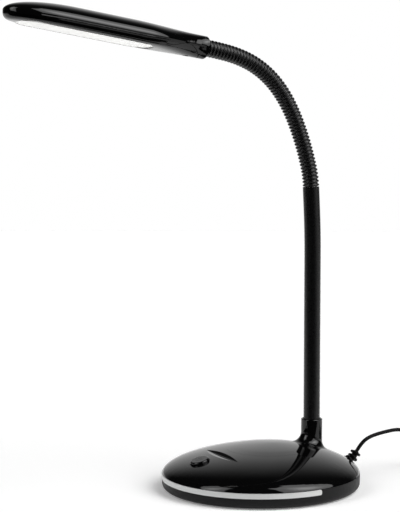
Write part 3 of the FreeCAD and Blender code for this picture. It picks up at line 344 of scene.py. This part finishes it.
def outer_materials():
    """Materials that show on the standing lamp, by their slots."""
    return {
        "gloss_black": gloss_black(),
        "tray_charcoal": plastic(
            "tray charcoal", dark=(0.006, 0.006, 0.0063), light=(0.009, 0.009, 0.0093),
            rough=(0.42, 0.52), sheen=0.17,
        ),
        "silver_trim": silver_paint(),
        "foam_pad": plastic(
            "foam pad", dark=grey(0.012), light=grey(0.03), rough=(0.85, 0.95), grain=900.0, depth=0.3 * MM,
        ),
        "sleeve_satin": satin_sleeve(),
        "hose_rubber": plastic(
            "hose black", dark=(0.004, 0.004, 0.0042), light=(0.007, 0.007, 0.0072),
            rough=(0.24, 0.32), grain=2600.0,
        ),
        "diffuser_opal": opal(),
        "switch_black": plastic("switch black", dark=grey(0.01), light=grey(0.02), rough=(0.35, 0.45)),
        "cord_sheath": plastic(
            "cord black", dark=grey(0.002), light=grey(0.0035), rough=(0.42, 0.52), grain=1800.0, sheen=0.1,
        ),
        "tie_plastic": plastic("tie black", dark=grey(0.012), light=grey(0.02), rough=(0.3, 0.4)),
        "plug_black": plastic(
            "plug black", dark=grey(0.010), light=grey(0.016), rough=(0.34, 0.44), grain=1500.0,
        ),
        "pin_nickel": metal("nickel", dark=(0.62, 0.60, 0.56), light=(0.76, 0.74, 0.70), rough=(0.12, 0.2)),
        "zinc_screws": metal("zinc", dark=(0.48, 0.48, 0.50), light=(0.62, 0.62, 0.64), rough=(0.22, 0.34)),
    }


def inner_materials():
    """Materials that the covers hide, by their slots."""
    return {
        "ballast_steel": metal(
            "rolled steel", dark=(0.24, 0.24, 0.25), light=(0.36, 0.36, 0.37),
            rough=(0.35, 0.5), brushed=0.2,
        ),
        "circuit_board": laminate(),
        "component_black": plastic(
            "component black", dark=(0.015, 0.015, 0.017), light=(0.03, 0.03, 0.033), rough=(0.3, 0.45),
        ),
        "connector_white": plastic(
            "connector white", dark=(0.66, 0.65, 0.60), light=(0.76, 0.75, 0.70), rough=(0.35, 0.45),
        ),
        "lead_sheath": plastic(
            "lead grey", dark=(0.42, 0.42, 0.40), light=(0.52, 0.52, 0.50), rough=(0.4, 0.5),
        ),
        "nipple_steel": metal(
            "plated steel", dark=(0.42, 0.41, 0.36), light=(0.54, 0.53, 0.48), rough=(0.25, 0.38),
        ),
        "bush_nylon": plastic(
            "bush nylon", dark=(0.60, 0.60, 0.56), light=(0.70, 0.70, 0.66), rough=(0.35, 0.45),
        ),
        "core_steel": metal(
            "core wire", dark=(0.32, 0.32, 0.33), light=(0.46, 0.46, 0.47),
            rough=(0.3, 0.42), brushed=0.1,
        ),
        "reflector_white": plastic(
            "reflector white", dark=(0.84, 0.84, 0.83), light=(0.90, 0.90, 0.89), rough=(0.2, 0.3),
        ),
        "led_aluminium": plastic("board white", dark=grey(0.78), light=grey(0.85), rough=(0.3, 0.4)),
        "led_phosphor": plastic(
            "phosphor", dark=(0.80, 0.60, 0.16), light=(0.90, 0.72, 0.26), rough=(0.2, 0.3),
        ),
    }


materials = outer_materials() | inner_materials()


def dress_nodes():
    """Gives every node of the frame the material of its slot."""
    for row in frame["record"]["subparts"]:
        mesh = nodes[row["node"]].data
        mesh.materials.clear()
        mesh.materials.append(materials[row["material_slot"]])


# Meshes

def add_mesh(name, points, faces, slot, body):
    mesh = bpy.data.meshes.new(name)
    mesh.from_pydata([tuple(point) for point in points], [], faces)
    mesh.validate()
    for face in mesh.polygons:
        face.use_smooth = True
    piece = bpy.data.objects.new(name, mesh)
    scene.collection.objects.link(piece)
    mesh.materials.append(materials[slot])
    if body:
        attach(piece, body)
    return piece


def ring_faces(rings, sides, closed=False):
    """Quads between rings of points, one ring after another, and back to the first where closed."""
    faces = []
    for ring in range(rings if closed else rings - 1):
        here = ring * sides
        there = (ring + 1) % rings * sides
        for side in range(sides):
            after = (side + 1) % sides
            faces.append((here + side, here + after, there + after, there + side))
    return faces


def smooth(share):
    """Share from 0 to 1, made to leave and arrive gently."""
    return share * share * (3 - 2 * share)


def eased(distance, change, before, after):
    """Value that goes gently from one to the other over this stretch."""
    share = (distance - change[0]) / (change[1] - change[0])
    return before + (after - before) * smooth(min(max(share, 0.0), 1.0))


# Gooseneck: its places have z along the neck and x across the lamp

def joint_point(name):
    return Vector([joint for joint in frame["joints"] if joint["name"] == name][0]["pos_m"])


def bent(place, bend, length):
    """Place after an arc of this length that leans forward by this many degrees."""
    turn = math.radians(bend)
    radius = length / turn
    step = Vector((0, -radius * (1 - math.cos(turn)), radius * math.sin(turn)))
    return place @ Matrix.Translation(step) @ Matrix.Rotation(turn, 4, "X")


def neck_places():
    """Places of the joints, from the swing at the sleeve's top to the twist at the head."""
    lean = Matrix.Rotation(math.radians(neck_first_lean), 4, "X")
    places = [Matrix.Translation(joint_point("neck_swing")) @ lean]
    for bend in link_bends:
        places.append(bent(places[-1], bend, link_length))
    return places


def along_link(places, link, distance):
    """Place on the neck's curve this far along a link."""
    if abs(distance) < shortest_arc:
        return places[link]
    return bent(places[link], link_bends[link] * distance / link_length, distance)


def rib_profile():
    """Distances and radii along one rib, from the middle of one groove to the next: a round rib."""
    pitch = link_length / ribs_per_link
    profile = []
    for step in range(rings_per_rib):
        share = step / rings_per_rib
        off_centre = abs(share - 0.5) / (rib_share / 2)
        rise = math.sqrt(max(0.0, 1 - off_centre ** rib_roundness)) if off_centre < 1 else 0.0
        profile.append((share * pitch, groove_radius + (rib_radius - groove_radius) * rise))
    return profile


def ring_at(place, radius):
    ring = []
    for side in range(sides_round):
        turn = math.tau * side / sides_round
        ring.append(place @ Vector((radius * math.cos(turn), radius * math.sin(turn), 0)))
    return ring


def add_hose_link(places, link):
    pitch = link_length / ribs_per_link
    points = []
    rings = 0
    for rib in range(ribs_per_link):
        for distance, radius in rib_profile():
            along = rib * pitch + distance
            if along < hose_end_gap or along > link_length - hose_end_gap:
                continue
            points += ring_at(along_link(places, link, along), radius)
            rings += 1
    points += ring_at(along_link(places, link, link_length - hose_end_gap), groove_radius)
    rings += 1
    name = "hose_%d" % (link + 1)
    piece = add_mesh(name, points, ring_faces(rings, sides_round), "hose_rubber", "neck_%d" % (link + 1))
    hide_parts("neck_hose_%d" % (link + 1))


def add_web(places, joint):
    """Thin floor of the groove at a joint, shaped along the ends of both of its neighbours."""
    points = []
    for ring in range(web_rings):
        distance = web_half_length * (2 * ring / (web_rings - 1) - 1)
        if distance < 0:
            place = along_link(places, joint - 1, link_length + distance)
        else:
            place = along_link(places, joint, distance)
        points += ring_at(place, web_radius)
    faces = ring_faces(web_rings, sides_round)
    piece = add_mesh("hose_web_%d" % joint, points, faces, "hose_rubber", None)
    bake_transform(piece)


def add_gooseneck():
    places = neck_places()
    for link in range(len(link_bends)):
        add_hose_link(places, link)
    for joint in range(1, len(link_bends)):
        add_web(places, joint)


# Cord

def cord_points():
    """The cord's route as control points, from the strain relief to the plug."""
    back = math.cos(relief_bend)
    up = math.sin(relief_bend)
    direction = Vector((0, back, up))
    tip = relief_exit + relief_bend_radius * Vector((0, up, 1 - back)) + direction * relief_end_length
    route = [tip, tip + direction * relief_lead]
    route += [Vector((0, distance, height)) * MM for distance, height in cord_hang]
    route.append(Vector((0, cord_landing, cord_height)))
    route.append(Vector((0, coil_start_back, cord_height)))
    count = int(coil_turns * coil_points_per_turn)
    route += [coil_point(step / coil_points_per_turn) for step in range(count + 1)]
    end = coil_point(coil_turns) + Vector((coil_end_run, 0, 0))
    route += [
        end,
        end + Vector((tail_straight, 0, 0)),
        end + Vector((tail_drop_at, 0, -tail_drop)),
    ]
    for distance in (plug_lead_at, plug_back_at):
        route.append(Vector((end.x + distance, end.y - tail_shift, plug_axis_height)))
    return route


def coil_point(turns):
    """Centre of the coiled cord after this many turns: spirals in and out, a layer at a time."""
    there_and_back = turns % (2 * coil_turns_per_layer)
    inward = min(there_and_back, 2 * coil_turns_per_layer - there_and_back)
    radius = coil_radius - coil_pitch * inward
    reversal = math.floor(turns / coil_turns_per_layer + 0.5)
    share = (turns - reversal * coil_turns_per_layer) / coil_climb_turns + 0.5
    share = min(max(share, 0.0), 1.0)
    if reversal == 0:
        share = 1.0
    if reversal == coil_layers:
        share = 0.0
    height = cord_height + coil_pitch * (reversal - 1 + smooth(share))
    angle = math.pi - math.tau * turns
    centre = Vector((coil_radius, coil_start_back + coil_end_run, 0))
    return centre + Vector((radius * math.cos(angle), radius * math.sin(angle), height))


def add_cord():
    points = cord_points()
    curve = bpy.data.curves.new("cord", "CURVE")
    curve.dimensions = "3D"
    spline = curve.splines.new("NURBS")
    spline.points.add(len(points) - 1)
    for control, point in zip(spline.points, points):
        control.co = (*point, 1)
    spline.order_u = cord_curve_order
    spline.use_endpoint_u = True
    spline.resolution_u = cord_curve_steps
    curve.bevel_depth = cord_radius
    curve.bevel_resolution = cord_curve_sides
    curve.materials.append(materials["cord_sheath"])
    cord = bpy.data.objects.new("cord", curve)
    scene.collection.objects.link(cord)
    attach(cord, "base")
    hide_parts("cord_free", "cord_coil", "cord_tail")


# Crown

def add_crown():
    """Skin over the middle of the base shell, which carries its curve on to the very top."""
    points = []
    for ring in range(crown_rings):
        share = math.sqrt(ring / crown_rings)
        angle = crown_start_angle + (90 - crown_start_angle) * share
        swell = crown_swell * eased(angle, crown_swell_angles, 0.0, 1.0)
        swell *= eased(angle, crown_settle_angles, 1.0, crown_settled)
        turn = math.radians(angle)
        reach = (math.cos(turn) ** 2) ** (1 / shell_plan_power)
        climb = (math.sin(turn) ** 2) ** (1 / shell_rise_power)
        height = shell_rim_height + shell_rise * climb + crown_edge_lift + swell
        back = shell_shift_back * climb ** shell_shift_power
        for side in range(crown_sides):
            around = math.tau * side / crown_sides
            points.append(Vector((
                shell_half_width * reach * math.cos(around),
                back + shell_half_length * reach * math.sin(around),
                height,
            )))
    faces = ring_faces(crown_rings, crown_sides)
    top = len(points)
    last = top - crown_sides
    crown = shell_rim_height + shell_rise + crown_edge_lift + crown_swell * crown_settled
    points.append(Vector((0, shell_shift_back, crown)))
    faces += [(last + side, last + (side + 1) % crown_sides, top) for side in range(crown_sides)]
    add_mesh("shell_crown", points, faces, "gloss_black", "base")


# Head

def into_tip(distance, length):
    """Share of the way through the last stretch of this length, from 0 before it to 1 at the tip."""
    return max(0.0, 1 - (head_length - distance) / length)


def tip_share(distance, rounding):
    """Share of its full reach that an outline keeps at this distance, as the tip rounds off."""
    length, lateness = rounding
    return math.sqrt(1 - into_tip(distance, length) ** lateness)


def cover_section(distance):
    """Points over the roof of the head, from its widest place on one side to the other."""
    half_width = eased(distance, widening, head_neck_radius, head_half_width)
    half_width = half_width * tip_share(distance, plan_rounding) + cover_lift
    levelled = into_tip(distance, plan_rounding[0]) ** tip_lateness
    middle = eased(distance, widening, 0.0, head_widest_height)
    middle += (head_tip_height - middle) * levelled
    top = eased(distance, rising, head_neck_radius, head_top)
    top = head_tip_height + (top - head_tip_height) * tip_share(distance, top_rounding) + cover_lift
    shoulder = eased(distance, widening, 0.0, cover_widest_height)
    shoulder += (head_tip_height - shoulder) * levelled
    power = 2 / cover_roundness
    roof = []
    for side in range(cover_sides + 1):
        turn = math.pi * (side / cover_sides - 0.5)
        across = math.copysign(abs(math.sin(turn)) ** power, turn) * half_width
        height = shoulder + max(math.cos(turn), 0.0) ** power * (top - shoulder)
        roof.append(Vector((across, height, distance)))
    walls = [middle + (shoulder - middle) * step / cover_wall_steps for step in range(cover_wall_steps)]
    left = [Vector((-half_width, height, distance)) for height in walls]
    right = [Vector((half_width, height, distance)) for height in reversed(walls)]
    return left + roof + right


def add_head_cover(place):
    """Skin over the head's roof, with the tight shoulders that the shell rounds off."""
    points = []
    reach = head_length - head_tip_flat - cover_start
    for ring in range(cover_rings + 1):
        left = 1 - ring / cover_rings
        section = cover_section(cover_start + reach * (1 - left ** cover_crowding))
        points += [place @ point for point in section]
    width = len(section)
    faces = []
    for ring in range(cover_rings):
        for side in range(width - 1):
            first = ring * width + side
            faces.append((first, first + 1, first + width + 1, first + width))
    add_mesh("head_cover", points, faces, "gloss_black", "head")


def window_corners():
    """Centre of its corner, and the direction from there, for each point round the light window."""
    across = window_half_width - window_corner
    near = window_start + window_corner
    far = window_end - window_corner
    corners = []
    for quarter, (x, z) in enumerate(((across, far), (-across, far), (-across, near), (across, near))):
        for step in range(window_corner_steps + 1):
            turn = math.tau / 4 * (quarter + step / window_corner_steps)
            corners.append((Vector((x, 0, z)), Vector((math.cos(turn), 0, math.sin(turn)))))
    return corners


def add_window_bead(place):
    """Thin raised bead of the frame round the light window."""
    points = []
    corners = window_corners()
    for centre, outward in corners:
        for side in range(bead_sides):
            turn = math.tau * side / bead_sides
            reach = window_corner + bead_radius * math.cos(turn)
            height = Vector((0, bead_height + bead_radius * math.sin(turn), 0))
            points.append(place @ (centre + outward * reach + height))
    faces = ring_faces(len(corners), bead_sides, closed=True)
    add_mesh("window_bead", points, faces, "gloss_black", "head")


# Power symbol

def add_power_symbol():
    """Open ring and bar, flat on the button's top."""
    tilt = Matrix.Rotation(math.radians(button_tilt), 4, "X")
    lift = Matrix.Translation((0, 0, button_proud + symbol_lift))
    place = Matrix.Translation(button_place) @ tilt @ lift
    points = []
    for step in range(symbol_steps + 1):
        turn = math.radians(90 + symbol_gap_angle / 2 + (360 - symbol_gap_angle) * step / symbol_steps)
        for radius in (symbol_radius - symbol_line / 2, symbol_radius + symbol_line / 2):
            points.append(place @ Vector((radius * math.cos(turn), radius * math.sin(turn), 0)))
    faces = [(2 * step, 2 * step + 1, 2 * step + 3, 2 * step + 2) for step in range(symbol_steps)]
    half = symbol_line / 2
    first = len(points)
    top = symbol_radius + half
    for x, y in ((-half, half), (half, half), (half, top), (-half, top)):
        points.append(place @ Vector((x, y, 0)))
    faces.append((first, first + 1, first + 2, first + 3))
    add_mesh("power_symbol", points, faces, "switch_black", "button")


# Stage, light and camera

def add_stage():
    """White sheet under the lamp, which runs on behind it and ends a little before it."""
    mesh = bpy.data.meshes.new("floor")
    front, back, half = sheet_front_edge, -sheet_back_edge, sheet_half_width
    corners = ((front, -half), (front, half), (back, half), (back, -half))
    towards_camera = Matrix.Rotation(math.radians(camera_azimuth - 90), 4, "Z")
    mesh.from_pydata([towards_camera @ Vector((x, y, 0)) for x, y in corners], [], [(0, 1, 2, 3)])
    floor = bpy.data.objects.new("floor", mesh)
    scene.collection.objects.link(floor)
    surface = Surface("floor paint")
    surface.colour(surface.noise(scale=3.0), dark=grey(0.93), light=grey(0.95))
    surface.set(Roughness=0.9, Specular_IOR_Level=0.0)
    shine = surface.tree.nodes.new("ShaderNodeMath")
    shine.operation = "MULTIPLY"
    shine.inputs[1].default_value = sheet_shine
    surface.link(seen_ray(surface.tree), shine.inputs[0])
    surface.link(shine.outputs["Value"], surface.shader.inputs["Emission Strength"])
    mesh.materials.append(surface.material)


def seen_ray(tree):
    """1 for the rays that show the studio to the camera, directly or in polished and clear surfaces."""
    path = tree.nodes.new("ShaderNodeLightPath")
    seen = path.outputs["Is Camera Ray"]
    for name in ("Is Glossy Ray", "Is Transmission Ray"):
        either = tree.nodes.new("ShaderNodeMath")
        either.operation = "MAXIMUM"
        tree.links.new(seen, either.inputs[0])
        tree.links.new(path.outputs[name], either.inputs[1])
        seen = either.outputs["Value"]
    return seen


class Sky:
    """The studio round the lamp: every light in it is a region of azimuth and elevation."""

    def __init__(self):
        world = bpy.data.worlds.new("studio")
        scene.world = world
        world.use_nodes = True
        self.tree = world.node_tree
        self.background = self.tree.nodes["Background"]
        axes = self.tree.nodes.new("ShaderNodeSeparateXYZ")
        directions = self.tree.nodes.new("ShaderNodeTexCoord").outputs["Generated"]
        self.tree.links.new(directions, axes.inputs["Vector"])
        x, y, z = (axes.outputs[name] for name in ("X", "Y", "Z"))
        ahead = self.math("MULTIPLY", y, -1.0)
        self.azimuth = self.math("MULTIPLY", self.math("ARCTAN2", x, ahead), math.degrees(1))
        self.elevation = self.math("MULTIPLY", self.math("ARCSINE", z), math.degrees(1))

    def math(self, operation, *values):
        node = self.tree.nodes.new("ShaderNodeMath")
        node.operation = operation
        for socket, value in zip(node.inputs, values):
            if isinstance(value, (int, float)):
                socket.default_value = value
            else:
                self.tree.links.new(value, socket)
        return node.outputs["Value"]

    def step(self, value, start, end):
        """Share that goes softly from 0 at the start to 1 at the end."""
        node = self.tree.nodes.new("ShaderNodeMapRange")
        node.interpolation_type = "SMOOTHSTEP"
        node.inputs["From Min"].default_value = start
        node.inputs["From Max"].default_value = end
        self.tree.links.new(value, node.inputs["Value"])
        return node.outputs["Result"]

    def product(self, factors):
        total = factors[0]
        for factor in factors[1:]:
            total = self.math("MULTIPLY", total, factor)
        return total

    def soft_box(self, left, right, lean, low, high, edge_light, middle_light):
        """Light panel between two leaning sides, brighter towards its middle."""
        left_lean, right_lean = lean
        from_left, from_right = (
            self.math("SUBTRACT", self.azimuth, self.math("MULTIPLY", self.elevation, side_lean))
            for side_lean in lean
        )
        soft = box_edge_softness
        inside = self.product([
            self.step(from_left, left - soft, left + soft),
            self.step(from_right, right + soft, right - soft),
            self.step(self.elevation, low - soft, low + soft),
            self.step(self.elevation, high + soft, high - soft),
        ])
        middle_azimuth = (left + right + (left_lean + right_lean) * (low + high) / 2) / 2
        middle_elevation = (low + high) / 2
        off_side = self.math("ABSOLUTE", self.math("SUBTRACT", self.azimuth, middle_azimuth))
        off_middle = self.math("ABSOLUTE", self.math("SUBTRACT", self.elevation, middle_elevation))
        glow = self.product([
            self.step(off_side, (right - left) / 2, 0.0),
            self.step(off_middle, (high - low) / 2, 0.0),
        ])
        light = self.math("MULTIPLY_ADD", glow, middle_light - edge_light, edge_light)
        return self.math("MULTIPLY", inside, light)

    def backdrop(self):
        """1 on the pale backdrop behind the lamp, fading upwards and to the sides."""
        behind = self.math("ABSOLUTE", self.math("ADD", self.azimuth, backdrop_azimuth))
        off_side = self.math("ADD", behind, self.math("MULTIPLY", self.elevation, backdrop_lean))
        return self.product([
            self.step(off_side, *backdrop_side_fade),
            self.step(self.elevation, *backdrop_top_fade),
        ])

    def finish(self, lights):
        backdrop = self.backdrop()
        total = self.math("MULTIPLY_ADD", backdrop, backdrop_light, room_light)
        for light in lights:
            total = self.math("ADD", light, total)
        total = self.math("MULTIPLY", total, studio_level)
        direct = self.tree.nodes.new("ShaderNodeLightPath").outputs["Is Camera Ray"]
        mirrored = self.product([seen_ray(self.tree), backdrop, backdrop_seen])
        seen = self.math("MAXIMUM", direct, mirrored)
        self.tree.links.new(self.math("MAXIMUM", total, seen), self.background.inputs["Strength"])


def add_world():
    sky = Sky()
    sky.background.inputs["Color"].default_value = (1, 1, 1, 1)
    sky.finish([sky.soft_box(**box) for box in soft_boxes])


def add_camera():
    data = bpy.data.cameras.new("camera")
    data.sensor_fit = "HORIZONTAL"
    data.sensor_width = sensor_width
    data.lens = focal_in_pixels / picture_width * sensor_width
    camera = bpy.data.objects.new("camera", data)
    azimuth = math.radians(camera_azimuth)
    camera.location = (
        camera_distance * math.sin(azimuth), -camera_distance * math.cos(azimuth), camera_height,
    )
    camera.rotation_euler = (math.pi / 2 - camera_pitch, 0, azimuth + camera_pan)
    scene.collection.objects.link(camera)
    scene.camera = camera


dress_nodes()
add_camera()
add_cord()
add_gooseneck()
add_crown()
add_head_cover(neck_places()[-1])
add_window_bead(neck_places()[-1])
add_power_symbol()
add_stage()
add_world()
scene.view_settings.view_transform = "Standard"
